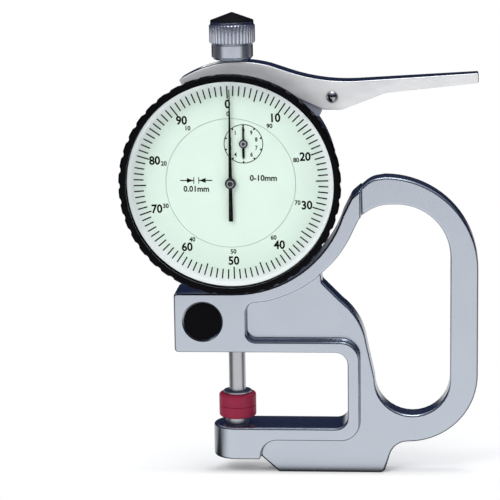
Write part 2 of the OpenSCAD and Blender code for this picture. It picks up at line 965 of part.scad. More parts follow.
// Lifting knob: plain skirt, fluted grip and a band under the cap
module lift_knob() {
    edge = 0.7;
    flute_r = 0.34;
    neck = 0.35;
    socket_h = 1.5;
    color("silver")
        difference() {
            translate([0, 0, knob_z])
                rotate_extrude()
                    polygon([[0, 0], [skirt_r - edge, 0], [skirt_r, edge], [skirt_r, knob_skirt_h - neck],
                        [skirt_r - neck, knob_skirt_h - neck], [skirt_r - neck, knob_skirt_h],
                        [knob_d / 2 - neck, knob_skirt_h], [knob_d / 2, knob_skirt_h + neck],
                        [knob_d / 2, knob_skirt_h + knurl_h - neck],
                        [knob_d / 2 - neck, knob_skirt_h + knurl_h],
                        [knob_d / 2 - neck, cap_z - knob_z], [0, cap_z - knob_z]]);
            upright(knob_neck_r, knob_z - 1, knurl_z + 1);
            for (i = [1 : knurl_flutes])
                rotate(360 / knurl_flutes * i)
                    translate([knob_d / 2 + flute_r * 0.15, 0, knurl_z - 1])
                        cylinder(r = flute_r, h = knurl_h + 1, $fn = 16);
            upright(cap_stub_r, cap_z - socket_h, cap_z + 1);
        }
}

module knob_cap() {
    cap_r = knob_d / 2 - 0.35;
    color("black")
        translate([0, 0, cap_z])
            rotate_extrude()
                polygon([[0, -1.4], [cap_stub_r, -1.4], [cap_stub_r, 0], [cap_r, 0], [cap_r, 0.3],
                    [0.35, cap_h - 0.1], [0, cap_h]]);
}

// Side outline of the lever, from the dial axis
module lever_outline() {
    low_r = case_r + case_air;
    polygon(rounded(concat(
        [[lever_end, tail_low, 0.4], [lever_end, tail_top, 0.4]],
        [[crook.x, crook.y, lever_bend_r]],
        arc(web_c, web_r, lever_bend, web_left, 16),
        arc([0, 0], low_r, lever_left, 52, 16),
        [[pivot.x - 2.4, pivot.y - 3.4, 3], [pivot.x + 2.6, pivot.y - 3.4, 4],
            [pivot.x + 13.9, pivot.y + 0.9, 8]])));
}

// Plan outline of the lever, with its flanges pulled in towards the right end
module lever_plan(inset) {
    half = lever_w / 2 - inset;
    end_half = lever_end_w / 2 - inset;
    taper_x = pivot.x + 6;
    polygon([[-cradle_r, -half], [taper_x, -half], [lever_end + 1, -end_half],
        [lever_end + 1, end_half], [taper_x, half], [-cradle_r, half]]);
}

module lever_body() {
    translate([0, 0, dial_z])
        intersection() {
            slab(2 * lever_w)
                lever_outline();
            linear_extrude(2 * bezel_r)
                lever_plan(0);
        }
}

// Lifting lever: a channel of sheet steel, slotted where the spindle passes through its web
module lift_lever() {
    slot_r = spindle_r + 0.35;
    slot_left = -6.4;
    color("whitesmoke")
        difference() {
            lever_body();
            lever_inside();
            translate([slot_left, -slot_r, dial_z + case_r])
                cube([-slot_left, 2 * slot_r, 2 * case_air + web_top - case_r]);
            for (x = [slot_left, 0])
                translate([x, 0, dial_z + case_r])
                    cylinder(r = slot_r, h = 2 * case_air + web_top - case_r);
            translate([pivot.x, 0, dial_z + pivot.y])
                rotate([90, 0, 0])
                    cylinder(r = rivet_d / 2 + run_gap, h = 2 * lever_w, center = true);
        }
}

// Space between the flanges, open below and at the left tip
module lever_inside() {
    inner_end = lever_end - lever_t;
    translate([0, 0, dial_z])
        intersection() {
            slab(2 * lever_w)
                polygon(rounded(concat(
                    [[inner_end, 0], [inner_end, tail_top - lever_t]],
                    [[crook.x, crook.y - lever_t, lever_bend_r]],
                    arc(web_c, web_r - lever_t, lever_bend, web_left + 7, 16),
                    [[-cradle_r, 0]])));
            linear_extrude(2 * bezel_r)
                lever_plan(lever_t);
        }
}

// Screw places of the bracket on the case that carries the lever
module at_bracket_screws() {
    for (side = [-1, 1])
        translate([bracket_screw_x, side * bracket_w * 0.26, dial_z + bracket_top])
            children();
}

module lever_bracket() {
    eye_r = 2.3;
    eye_w = bracket_w + 0.4;
    tab_x = pivot.x - eye_r - 0.6;
    tab_low = pivot.y - 2 * eye_r - 0.6;
    color("slategray")
        difference() {
            translate([0, 0, dial_z]) {
                slab(bracket_w)
                    difference() {
                        polygon(rounded([[case_r * cos(62), bracket_top], [pivot.x - 0.6, bracket_top],
                            [pivot.x - 1.2, pivot.y - 2], [tab_x, pivot.y - 2.4],
                            [tab_x, tab_low, 1.2], [case_r * cos(45), tab_low],
                            [case_r * cos(62), pivot.y - 2]]));
                        circle(r = case_r, $fn = 128);
                    }
                translate([pivot.x, 0, pivot.y])
                    rotate([90, 0, 0])
                        cylinder(r = eye_r, h = eye_w, center = true);
            }
            translate([pivot.x, 0, dial_z + pivot.y])
                rotate([90, 0, 0])
                    cylinder(r = rivet_d / 2, h = lever_w, center = true);
            at_bracket_screws()
                cylinder(r = screw_r, h = 2 * bracket_screw_len, center = true);
        }
}

module bracket_screws() {
    color("gray")
        at_bracket_screws()
            small_screw(bracket_screw_len - 0.4, 1.2, 0.7);
}

// Rivet with a domed head at each flange
module lever_rivet() {
    head_r = rivet_d / 2 + 0.45;
    dome_r = 1.75;
    head_y = lever_w / 2 + run_gap;
    color("gray")
        translate([pivot.x, 0, dial_z + pivot.y])
            rotate([90, 0, 0]) {
                cylinder(r = rivet_d / 2, h = 2 * head_y + 0.1, center = true);
                for (side = [0, 180])
                    rotate([0, side, 0])
                        translate([0, 0, head_y])
                            intersection() {
                                cylinder(r = head_r, h = dome_r);
                                translate([0, 0, -sqrt(pow(dome_r, 2) - pow(head_r, 2)) + 0.2])
                                    sphere(r = dome_r);
                            }
            }
}

// Gear train
module rack_pinion() {
    color("gold")
        at_dial() {
            translate([rack_arbor.x, rack_arbor.y, -pinion_half])
                linear_extrude(2 * pinion_half)
                    gear_outline(rack_teeth, rack_pinion_r, tooth_add, tooth_ded, tooth_w);
            bar(arbor_r, pinion_half - 0.1, front_plate_back - 0.1, rack_arbor);
            bar(pivot_r, -cock_h - cock_t, -pinion_half + 0.1, rack_arbor);
            bar(pivot_r, front_plate_back - 0.2, front_plate_front - 0.2, rack_arbor);
        }
}

// A wheel with teeth and round lightening holes, one tooth at the angle given
module wheel(at, angle) {
    hole_ring = gear_r * 0.58;
    translate([at.x, at.y, gear_h])
        rotate(angle)
            linear_extrude(gear_t)
                difference() {
                    gear_outline(gear_teeth, gear_r, tooth_add, tooth_ded, tooth_w);
                    circle(r = arbor_r);
                    for (i = [0 : 4])
                        rotate(72 * i)
                            translate([hole_ring, 0])
                                circle(r = gear_r * 0.22);
                }
}

module transfer_gear() {
    color("gold")
        at_dial()
            wheel(rack_arbor, mesh_angle);
}

module takeup_gear() {
    color("gold")
        at_dial()
            wheel(takeup_at, mesh_angle + 180);
}

module takeup_arbor() {
    color("gold")
        at_dial() {
            bar(pivot_r, plate_back + 0.05, plate_front + 0.1, takeup_at);
            bar(arbor_r, plate_front + 0.1, front_plate_back - 0.1, takeup_at);
            bar(neck_r, front_plate_back - 0.2, counter_h + counter_t, takeup_at);
        }
}

module centre_pinion() {
    color("gold")
        at_dial() {
            bar(pivot_r, plate_back + 0.05, plate_front + 0.1);
            translate([0, 0, plate_front + 0.1])
                rotate(mesh_angle + 180 / centre_teeth)
                    linear_extrude(gear_t + 0.8)
                        gear_outline(centre_teeth, centre_r, tooth_add, tooth_ded, tooth_w * 0.9);
            bar(neck_r, plate_front + 0.2, pointer_h + pointer_t);
        }
}

// A tapered needle with a round eye, tip up
module needle(tip, tail, root_w, tip_w, eye_r, bore) {
    edge = acos(root_w / 2 / eye_r);
    tail_w = root_w * 1.24;
    difference() {
        polygon(concat(
            [[-tip_w / 2, tip], [tip_w / 2, tip]],
            arc([0, 0], eye_r, edge, -edge, 16),
            [[tail_w / 2, -tail], [-tail_w / 2, -tail]],
            arc([0, 0], eye_r, 180 + edge, 180 - edge, 16)));
        circle(r = bore);
    }
}

module main_pointer() {
    color("black")
        at_dial()
            translate([0, 0, pointer_h])
                linear_extrude(pointer_t)
                    needle(pointer_len, pointer_tail, 0.9, 0.22, hub_r, neck_r);
}

module pointer_hub() {
    rim = 0.25;
    hub_h = 0.6;
    color("dimgray")
        at_dial()
            translate([0, 0, pointer_h + pointer_t])
                difference() {
                    rotate_extrude()
                        polygon([[0, 0], [hub_r - 0.1, 0], [hub_r - 0.1, hub_h - rim],
                            [hub_r - 0.1 - rim, hub_h], [0, hub_h]]);
                    translate([-hub_r, -0.12, hub_h - rim])
                        cube([2 * hub_r, 0.24, 1]);
                }
}

module counter_pointer() {
    color("black")
        at_dial()
            translate([takeup_at.x, takeup_at.y, counter_h])
                linear_extrude(counter_t)
                    needle(3.4, 1.8, 0.5, 0.16, 0.75, neck_r);
}

// The part's origin is the middle of the flat it stands on
module place() {
    translate([-foot_mid, 0, 0])
        children();
}

place() frame();
place() front_cotter();
place() rear_cotter();
place() clamp_screw();
place() anvil_holder();
place() anvil_face();
place() stem();
place() stem_bush();
place() upper_bush();
place() indicator_case();
place() back_cover();
place() cover_screws();
place() middle_plate();
place() front_plate();
place() plate_pillars();
place() plate_screws();
place() pivot_jewels();
place() pinion_cock();
place() cock_screws();
place() hairspring();
place() hairspring_stud();
place() dial_centre();
place() bezel_wire();
place() return_spring();
place() spring_anchor();
place() spindle_guide();
place() lever_bracket();
place() bracket_screws();
place() lever_rivet();
place() lift_lever();
place() spindle();
place() guide_pin();
place() contact_collar();
place() contact_face();
place() lift_knob();
place() knob_cap();
place() rack_pinion();
place() transfer_gear();
place() centre_pinion();
place() main_pointer();
place() pointer_hub();
place() takeup_arbor();
place() takeup_gear();
place() counter_pointer();
place() bezel();
place() crystal();
place() dial_ring();
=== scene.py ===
import json
import math

import bmesh
import bpy
from mathutils import Matrix, Vector

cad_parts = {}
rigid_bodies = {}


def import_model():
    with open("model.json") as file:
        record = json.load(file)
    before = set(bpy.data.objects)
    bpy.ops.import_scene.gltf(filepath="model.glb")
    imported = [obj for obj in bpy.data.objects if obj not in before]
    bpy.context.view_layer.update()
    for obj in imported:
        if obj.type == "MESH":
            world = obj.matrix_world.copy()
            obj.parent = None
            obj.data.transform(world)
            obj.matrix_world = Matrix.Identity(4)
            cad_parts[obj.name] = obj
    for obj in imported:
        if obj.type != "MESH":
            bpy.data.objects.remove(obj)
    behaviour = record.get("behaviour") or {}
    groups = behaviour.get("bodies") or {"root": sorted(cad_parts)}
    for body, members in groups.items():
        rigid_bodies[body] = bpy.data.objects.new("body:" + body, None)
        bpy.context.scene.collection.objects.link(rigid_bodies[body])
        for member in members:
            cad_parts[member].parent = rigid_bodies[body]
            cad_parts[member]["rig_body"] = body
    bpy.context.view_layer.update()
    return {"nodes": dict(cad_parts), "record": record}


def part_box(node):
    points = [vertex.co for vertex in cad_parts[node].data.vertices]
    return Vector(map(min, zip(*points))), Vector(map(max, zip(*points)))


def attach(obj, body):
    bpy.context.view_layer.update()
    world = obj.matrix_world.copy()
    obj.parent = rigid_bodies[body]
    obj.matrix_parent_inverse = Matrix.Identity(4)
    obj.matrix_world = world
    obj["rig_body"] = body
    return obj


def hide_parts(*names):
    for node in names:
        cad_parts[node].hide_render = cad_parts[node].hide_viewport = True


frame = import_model()
nodes = frame["nodes"]
slotOf = {part["node"]: part["material_slot"] for part in frame["record"]["subparts"]}
scene = bpy.context.scene
mm = 0.001
white = (1, 1, 1, 1)
print("frame loaded:", len(nodes), "nodes")

# the dial's own plane: x right, y up, z towards the reader
bezelLow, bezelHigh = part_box("bezel")
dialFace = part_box("dial_ring")[0].y  # the front of the printed sheet
dialMid = Vector(((bezelLow.x + bezelHigh.x) / 2, 0, (bezelLow.z + bezelHigh.z) / 2))
dialFrame = Matrix.Translation(dialMid + Vector((0, dialFace, 0))) @ Matrix.Rotation(math.pi / 2, 4, "X")
arborLow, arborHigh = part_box("takeup_arbor")
counterMid = Vector(((arborLow.x + arborHigh.x) / 2, 0, (arborLow.z + arborHigh.z) / 2)) - dialMid
counterPlace = Matrix.Translation((counterMid.x, counterMid.z, 0))


# shader maths: an expression on these adds its nodes
class Value:
    def __init__(self, tree, socket):
        self.tree = tree
        self.socket = socket

    def node(self, kind, settings, sockets, out=0):
        made = self.tree.nodes.new(kind)
        for name, setting in settings.items():
            setattr(made, name, setting)
        for name, value in sockets.items():
            if isinstance(value, Value):
                self.tree.links.new(value.socket, made.inputs[name])
            else:
                made.inputs[name].default_value = value
        return Value(self.tree, made.outputs[out])

    def maths(self, operation, first, second=0.0):
        return self.node("ShaderNodeMath", {"operation": operation}, {0: first, 1: second})

    def __add__(self, other):
        return self.maths("ADD", self, other)

    def __radd__(self, other):
        return self.maths("ADD", other, self)

    def __sub__(self, other):
        return self.maths("SUBTRACT", self, other)

    def __rsub__(self, other):
        return self.maths("SUBTRACT", other, self)

    def __mul__(self, other):
        return self.maths("MULTIPLY", self, other)

    def __rmul__(self, other):
        return self.maths("MULTIPLY", other, self)

    def __truediv__(self, other):
        return self.maths("DIVIDE", self, other)

    def absolute(self):
        return self.maths("ABSOLUTE", self)

    def positive(self):
        return self.maths("MAXIMUM", self, 0.0)

    def root(self):
        return self.maths("SQRT", self)

    def clamped(self):
        return self.node("ShaderNodeClamp", {}, {"Value": self})

    def ramp(self, start, end):
        # 0 at start and 1 at end, rising or falling
        return ((self - start) * (1 / (end - start))).clamped()

    def mingled(self, other, share):
        return self * share + other * (1 - share)

    def along(self, axis):
        return self.node("ShaderNodeSeparateXYZ", {}, {0: self}, "XYZ".index(axis))

    def noise(self, size, detail=3.0, stretch=(1, 1, 1)):
        place = self.node("ShaderNodeMapping", {}, {"Vector": self, "Scale": stretch})
        return self.node("ShaderNodeTexNoise", {}, {"Vector": place, "Scale": 1 / size, "Detail": detail})

    def mixed(self, first, second):
        # the node's colours are its sockets 6 and 7, and come out at 2
        return self.node("ShaderNodeMix", {"data_type": "RGBA"}, {"Factor": self, 6: first, 7: second}, 2)

    def toned(self, colour, darker, lighter):
        return self.mixed(shade(colour, darker), shade(colour, lighter))

    def bumped(self, height, strength):
        return self.node("ShaderNodeBump", {}, {"Height": self, "Distance": height, "Strength": strength})


def newFinish(name, plain):
    material = bpy.data.materials.new(name)
    material.use_nodes = True
    shader = material.node_tree.nodes["Principled BSDF"]
    for socket, value in plain.items():
        shader.inputs[socket].default_value = value
    coords = material.node_tree.nodes.new("ShaderNodeTexCoord")
    return material, shader, Value(material.node_tree, coords.outputs["Object"])


def feed(shader, links):
    for socket, value in links.items():
        value.tree.links.new(value.socket, shader.inputs[socket])


def shade(colour, amount):
    return tuple(min(1, part * amount) for part in colour) + (1,)


# in each finish, tones are shares of its colour, relief is a height and a strength,
# and rough is a start and what each grain adds to it
castPaint = {
    "colour": (0.58, 0.63, 0.71),
    "flake": 0.12 * mm,  # size of the paint's grain
    "cloud": 9 * mm,
    "flakeShare": 0.7,
    "tones": (0.86, 1.12),
    "rough": (0.2, 0.1),
    "relief": (0.02 * mm, 0.25),
    "cloudRelief": 0.5,
}


def paintedCasting(name):
    look = castPaint
    material, shader, place = newFinish(name, {"Metallic": 1.0})
    flake = place.noise(look["flake"], detail=2.0)
    cloud = place.noise(look["cloud"])
    start, byFlake = look["rough"]
    feed(shader, {
        "Base Color": flake.mingled(cloud, look["flakeShare"]).toned(look["colour"], *look["tones"]),
        "Roughness": start + flake * byFlake,
        "Normal": (flake + cloud * look["cloudRelief"]).bumped(*look["relief"]),
    })
    return material


latheGrain = {
    "line": 0.06 * mm,
    "round": 1 / 40,  # fine lines run round the axis, so the grain changes only along it
    "smear": 3 * mm,
    "lineShare": 0.6,
    "tones": (0.82, 1.12),
    "rough": (-0.06, 0.08, 0.06),
    "relief": (0.01 * mm, 0.2),
}


def turnedMetal(name, colour, rough, axis, metal=1.0):
    look = latheGrain
    material, shader, place = newFinish(name, {"Metallic": metal})
    stretch = [1 if letter == axis else look["round"] for letter in "XYZ"]
    lines = place.noise(look["line"], detail=2.0, stretch=stretch)
    smear = place.noise(look["smear"])
    start, byLines, bySmear = look["rough"]
    feed(shader, {
        "Base Color": lines.mingled(smear, look["lineShare"]).toned(colour, *look["tones"]),
        "Roughness": rough + start + lines * byLines + smear * bySmear,
        "Normal": lines.bumped(*look["relief"]),
    })
    return material


polishMarks = {
    "scratch": 0.08 * mm,
    "scratchStretch": (1 / 60, 1, 1),  # a polishing wheel leaves long faint scratches
    "smear": 5 * mm,
    "smearStretch": (0.5, 1, 1.3),
    "rough": (-0.03, 0.06, 0.04),
    "relief": (0.006 * mm, 0.12),
}


def polishedSheet(name, colour, rough, metal=1.0, dull=0.9):
    look = polishMarks
    material, shader, place = newFinish(name, {"Metallic": metal})
    scratch = place.noise(look["scratch"], detail=2.0, stretch=look["scratchStretch"])
    smear = place.noise(look["smear"], detail=2.0, stretch=look["smearStretch"])
    start, byScratch, bySmear = look["rough"]
    feed(shader, {
        "Base Color": smear.toned(colour, dull, 2 - dull),
        "Roughness": rough + start + scratch * byScratch + smear * bySmear,
        "Normal": scratch.bumped(*look["relief"]),
    })
    return material


mouldGrain = {
    "gloss": 0.06,
    "grain": 0.12 * mm,
    "wear": 2.5 * mm,
    "tones": (0.7, 1.4),
    "rough": (-0.08, 0.1, 0.06),
    "relief": (0.015 * mm, 0.3),
}


def mouldedBlack(name, colour, rough):
    look = mouldGrain
    material, shader, place = newFinish(name, {"Specular IOR Level": look["gloss"]})
    grain = place.noise(look["grain"])
    wear = place.noise(look["wear"])
    start, byGrain, byWear = look["rough"]
    feed(shader, {
        "Base Color": wear.toned(colour, *look["tones"]),
        "Roughness": rough + start + grain * byGrain + wear * byWear,
        "Normal": grain.bumped(*look["relief"]),
    })
    return material


dialSheet = {
    "middle": (0.75, 0.91, 0.80, 1),
    "rim": (0.93, 0.98, 0.98, 1),
    "rimEdge": (23.5 * mm, 26.2 * mm),
    "rimShare": 0.9,  # the rest is speckle
    "speck": 0.2 * mm,
    "rough": (0.3, 0.12),
    "coat": 0.2,
}


def dialEnamel(name):
    look = dialSheet
    material, shader, place = newFinish(name, {"Coat Weight": look["coat"]})
    flat = place.node("ShaderNodeMapping", {}, {"Vector": place, "Location": -dialMid, "Scale": (1, 0, 1)})
    reach = flat.node("ShaderNodeVectorMath", {"operation": "LENGTH"}, {0: flat}, 1)
    speck = place.noise(look["speck"])
    grown = reach.ramp(*look["rimEdge"]).mingled(speck, look["rimShare"])
    start, bySpeck = look["rough"]
    feed(shader, {
        "Base Color": grown.mixed(look["middle"], look["rim"]),
        "Roughness": start + speck * bySpeck,
    })
    return material


glaze = {
    "gloss": 0.2,
    "coat": 0.04,
    "mottle": 0.5 * mm,
    "tones": (0.78, 1.25),
    "rough": (-0.05, 0.1),
}


def glazed(name, colour, rough):
    look = glaze
    plain = {"Specular IOR Level": look["gloss"], "Coat Weight": look["coat"]}
    material, shader, place = newFinish(name, plain)
    mottle = place.noise(look["mottle"])
    start, byMottle = look["rough"]
    feed(shader, {
        "Base Color": mottle.toned(colour, *look["tones"]),
        "Roughness": rough + start + mottle * byMottle,
    })
    return material


glass = {
    "colour": (0.03, 0.04, 0.04, 1),
    "rough": 0.04,
    "film": 6 * mm,
    "alpha": (0.02, 0.02),  # least, and what a faint film adds
}


def clearGlass(name):
    look = glass
    material, shader, place = newFinish(name, {"Base Color": look["colour"], "Roughness": look["rough"]})
    least, byFilm = look["alpha"]
    feed(shader, {"Alpha": least + place.noise(look["film"]) * byFilm})
    return material


recipes = {  # what makes each slot's finish, then the colour, the roughness and what else it takes
    "frame_paint": (paintedCasting,),
    "black_plastic": (mouldedBlack, (0.002, 0.002, 0.003), 0.45),
    "steel": (turnedMetal, (0.60, 0.61, 0.64), 0.3, "Z"),
    "bronze": (turnedMetal, (0.52, 0.33, 0.18), 0.35, "Z"),
    "case_metal": (turnedMetal, (0.42, 0.45, 0.53), 0.38, "Y"),
    "brass": (turnedMetal, (0.72, 0.53, 0.24), 0.32, "Y"),
    "jewel": (glazed, (0.5, 0.02, 0.09), 0.15),
    "spring_blue": (turnedMetal, (0.12, 0.2, 0.42), 0.3, "Y"),
    "dial_face": (dialEnamel,),
    "polished_steel": (polishedSheet, (0.8, 0.8, 0.83), 0.15),
    "red_face": (glazed, (0.25, 0.014, 0.045), 0.4),
    "pointer_black": (mouldedBlack, (0.003, 0.003, 0.004), 0.5),
    "hub_metal": (turnedMetal, (0.05, 0.05, 0.055), 0.35, "Y", 0.6),
    "crystal": (clearGlass,),
}
finishes = {slot: finish(slot, *values) for slot, (finish, *values) in recipes.items()}
special = {  # pieces that need a shade of their own
    "lever_rivet": turnedMetal("rivet_steel", (0.45, 0.43, 0.43), 0.2, "Y"),
    "lever_bracket": turnedMetal("bracket_paint", (0.42, 0.44, 0.55), 0.4, "Y", 0.4),
    "lift_knob": turnedMetal("knob_steel", (0.66, 0.70, 0.80), 0.22, "Z"),
}
# a satin copy of the polished steel for the lever's flanks, painted paler and less metallic: painted light
# that makes them read lit
satinLitFlank = polishedSheet("satin_lit_flank", (0.92, 0.93, 0.96), 0.34, 0.5, 0.7)
for name, piece in nodes.items():
    piece.data.materials.clear()
    piece.data.materials.append(special.get(name, finishes[slotOf[name]]))
print("finishes made:", len(finishes))


def newPiece(name, mesh, body, slot, stands=None):
    piece = bpy.data.objects.new(name, mesh)
    scene.collection.objects.link(piece)
    mesh.materials.append(finishes[slot])
    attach(piece, body)
    if stands:
        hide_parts(stands)
    return piece


def meshFrom(shape, name, smooth=False):
    mesh = bpy.data.meshes.new(name)
    for face in shape.faces:
        face.smooth = smooth
    shape.to_mesh(mesh)
    shape.free()
    return mesh


# a copy of a node's solid whose edges are rounded off, as a cast, moulded or tumbled piece's are
edgeRounds = {
    "frame": 0.65 * mm,
    "bezel": 0.2 * mm,
    "lift_knob": 0.1 * mm,
    "knob_cap": 0.12 * mm,
    "lift_lever": 0.36 * mm,
    "lever_bracket": 0.2 * mm,
    "front_cotter": 0.2 * mm,
    "anvil_holder": 0.12 * mm,
    "contact_collar": 0.12 * mm,
    "contact_face": 0.2 * mm,
    "anvil_face": 0.2 * mm,
}
rounding = {
    "merge": 0.002 * mm,
    "flat": math.radians(1),  # faces that meet flatter than this become one
    "crease": math.radians(31),  # from here an edge shows as one
    "corner": math.radians(32),  # and from here it is rounded
    "frameCorner": math.radians(55),  # the cast chamfers stay crisp
    "segments": 3,
}
sharpNook = {"place": (-2.8 * mm, 54.0 * mm), "reach": 4 * mm}  # too narrow in the frame for a fillet
leverFlank = {"least": 0.7, "most": 0.3}  # least size of y and most x of the normal on its flanks


def inNook(edge):
    x, z = sharpNook["place"]
    mid = (edge.verts[0].co + edge.verts[1].co) / 2
    return math.hypot(mid.x - x, mid.z - z) < sharpNook["reach"]


def softened(node, width):
    look = rounding
    shape = bmesh.new()
    shape.from_mesh(nodes[node].data)
    bmesh.ops.remove_doubles(shape, verts=shape.verts, dist=look["merge"])
    bmesh.ops.dissolve_limit(shape, angle_limit=look["flat"], verts=shape.verts, edges=shape.edges)
    limit = look["frameCorner" if node == "frame" else "corner"]
    low = [min(v.co[i] for v in shape.verts) for i in range(3)]
    high = [max(v.co[i] for v in shape.verts) for i in range(3)]
    for edge in shape.edges:
        edge.smooth = not look["crease"] < edge.calc_face_angle(0) < limit
    corners = [edge for edge in shape.edges if edge.calc_face_angle(0) > limit]
    if node == "frame":
        corners = [edge for edge in corners if edge.is_convex or not inNook(edge)]
    bmesh.ops.bevel(shape, geom=corners, offset=width, segments=look["segments"], profile=0.5,
                    affect="EDGES", material=-1)
    for v in shape.verts:  # no corner of a round stands past the solid
        v.co = [min(max(v.co[i], low[i]), high[i]) for i in range(3)]
    body = nodes[node]["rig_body"]
    piece = newPiece(node + "_soft", meshFrom(shape, node + "_soft", True), body, slotOf[node], node)
    if node in special:
        piece.data.materials[0] = special[node]
    if node == "lift_lever":  # its flanks get a satin copy of the polished steel, painted paler and less metallic as painted light so that they read lit; its ends and edges keep the bright polish
        piece.data.materials.append(satinLitFlank)
        for face in piece.data.polygons:
            sideways = abs(face.normal.y) > leverFlank["least"]
            face.material_index = int(sideways and face.normal.x < leverFlank["most"])
    evened = piece.modifiers.new("flats", "WEIGHTED_NORMAL")  # keeps the flats flat beside their rounds
    evened.keep_sharp = True


for node, width in edgeRounds.items():
    softened(node, width)
print("edges rounded:", len(edgeRounds), "pieces")


# printing on the dial, in the dial's plane
ink = {
    "height": 0.03 * mm,
    "merge": 0.0005 * mm,
    "bold": 0.03,  # how far a letter's outline grows, of the font's size
    "capHeight": 0.73,  # of the font's size
    "dotSides": 28,
    "ringSides": 72,
}


def inkBar(shape, width, height, place):
    bar = bmesh.ops.create_cube(shape, size=1.0)["verts"]
    bmesh.ops.scale(shape, vec=(width, height, ink["height"]), verts=bar)
    bmesh.ops.transform(shape, matrix=place @ Matrix.Translation((0, 0, ink["height"] / 2)), verts=bar)


def turnedRing(shape, corners, place, steps=ink["ringSides"]):
    # a ring comes first in its shape, because all that is there moves to its place
    rim = [shape.verts.new((x, 0, z)) for x, z in corners]
    edges = [shape.edges.new((rim[i - 1], rim[i])) for i in range(len(rim))]
    bmesh.ops.spin(shape, geom=rim + edges, cent=(0, 0, 0), axis=(0, 0, 1), angle=math.tau,
                   steps=steps, use_merge=True)
    bmesh.ops.transform(shape, matrix=place, verts=shape.verts)


def flatRing(shape, radius, width, low, high, place):
    inner, outer = radius - width / 2, radius + width / 2
    turnedRing(shape, [(inner, low), (outer, low), (outer, high), (inner, high)], place)


def inkDot(shape, radius, place, low=0.0, high=ink["height"], crown=1.0):
    dot = bmesh.ops.create_cone(shape, cap_ends=True, segments=ink["dotSides"], radius1=radius,
                                radius2=radius * crown, depth=high - low)["verts"]
    bmesh.ops.transform(shape, matrix=place @ Matrix.Translation((0, 0, (low + high) / 2)), verts=dot)


def inkText(shape, words, height, narrow, place, bold=ink["bold"]):
    curve = bpy.data.curves.new("words", "FONT")
    curve.body = words
    curve.align_x = "CENTER"
    curve.align_y = "CENTER"
    curve.size = 1.0
    curve.extrude = 0.5
    curve.offset = bold
    curve.resolution_u = 3
    text = bpy.data.objects.new("words", curve)
    scene.collection.objects.link(text)
    bpy.context.view_layer.update()
    mesh = bpy.data.meshes.new_from_object(text.evaluated_get(bpy.context.evaluated_depsgraph_get()))
    size = height / ink["capHeight"]
    mesh.transform(place @ Matrix.Diagonal((size * narrow, size, ink["height"], 1))
                   @ Matrix.Translation((0, 0, curve.extrude)))
    shape.from_mesh(mesh)
    bpy.data.objects.remove(text)
    bpy.data.curves.remove(curve)
    bpy.data.meshes.remove(mesh)


def polar(radius, turn):
    # turn runs clockwise from the top
    return Matrix.Translation((radius * math.sin(turn), radius * math.cos(turn), 0))


def inkPiece(shape, name, body, turn=0.0, slot="pointer_black"):
    bmesh.ops.remove_doubles(shape, verts=shape.verts, dist=ink["merge"])
    bmesh.ops.recalc_face_normals(shape, faces=shape.faces)
    bmesh.ops.transform(shape, matrix=dialFrame @ Matrix.Rotation(turn, 4, "Z"), verts=shape.verts)
    newPiece(name, meshFrom(shape, name), body, slot)


scaleRing = {
    "divisions": 100,
    "longEvery": 5,
    "numberEvery": 10,
    "outer": 25.5 * mm,
    "short": 2.6 * mm,
    "long": 3.25 * mm,
    "thick": 0.34 * mm,
    "numeralAt": 20.7 * mm,
    "numeral": 2.25 * mm,
    "backAt": 18.2 * mm,  # the small numerals that run the other way
    "back": 1.2 * mm,
    "narrow": 0.94,
    "turn": math.radians(1.4),  # the ring stands a little past the pointer
}


def printScale():
    look = scaleRing
    count = look["divisions"]
    shape = bmesh.new()
    for i in range(count):
        turn = math.tau * i / count
        length = look["long"] if i % look["longEvery"] == 0 else look["short"]
        place = polar(look["outer"] - length / 2, turn) @ Matrix.Rotation(-turn, 4, "Z")
        inkBar(shape, look["thick"], length, place)
    for i in range(0, count, look["numberEvery"]):
        turn = math.tau * i / count
        inkText(shape, str(i), look["numeral"], look["narrow"], polar(look["numeralAt"], turn))
        inkText(shape, str(-i % count), look["back"], look["narrow"], polar(look["backAt"], turn))
    inkPiece(shape, "scale_print", "bezel_unit", look["turn"])


counterDial = {
    "turns": 10,
    "radius": 5.05 * mm,
    "line": 0.2 * mm,
    "dotAt": 4.75 * mm,
    "dot": 0.24 * mm,
    "digitAt": 3.55 * mm,
    "digit": 1.1 * mm,
    "narrow": 0.85,
}


def printCounter():
    look = counterDial
    shape = bmesh.new()
    flatRing(shape, look["radius"], look["line"], 0, ink["height"], counterPlace)
    for i in range(look["turns"]):
        turn = -math.tau * i / look["turns"]  # numbered against the clock
        inkDot(shape, look["dot"], counterPlace @ polar(look["dotAt"], turn))
        inkText(shape, str(i), look["digit"], look["narrow"], counterPlace @ polar(look["digitAt"], turn))
    inkPiece(shape, "counter_print", "root")


unitMark = {
    "mark": (-9.0 * mm, 0.75 * mm),
    "reach": 4.2 * mm,
    "gap": 0.65 * mm,
    "bar": (0.2 * mm, 1.75 * mm),
    "arrow": (1.7 * mm, 1.3 * mm),
    "arrowGap": 0.1 * mm,
    "line": 0.28 * mm,
    "text": 1.55 * mm,
    "bold": 0.028,
    "value": {"words": "0.01mm", "place": (-9.0 * mm, -1.55 * mm), "narrow": 0.98},
    "range": {"words": "0-10mm", "place": (8.6 * mm, 1.3 * mm), "narrow": 1.0},
}


def inkArrow(shape, length, width, side, place):
    head = bmesh.ops.create_cone(shape, cap_ends=True, segments=3, radius1=1, radius2=1,
                                 depth=ink["height"])["verts"]
    madeLength, madeWidth = 1.5, math.sqrt(3)  # of a triangle of radius 1
    bmesh.ops.rotate(shape, cent=(0, 0, 0), matrix=Matrix.Rotation(math.pi / 2, 3, "Z"), verts=head)
    bmesh.ops.scale(shape, vec=(side * length / madeLength, width / madeWidth, 1), verts=head)
    bmesh.ops.transform(shape, matrix=place @ Matrix.Translation((0, 0, ink["height"] / 2)), verts=head)


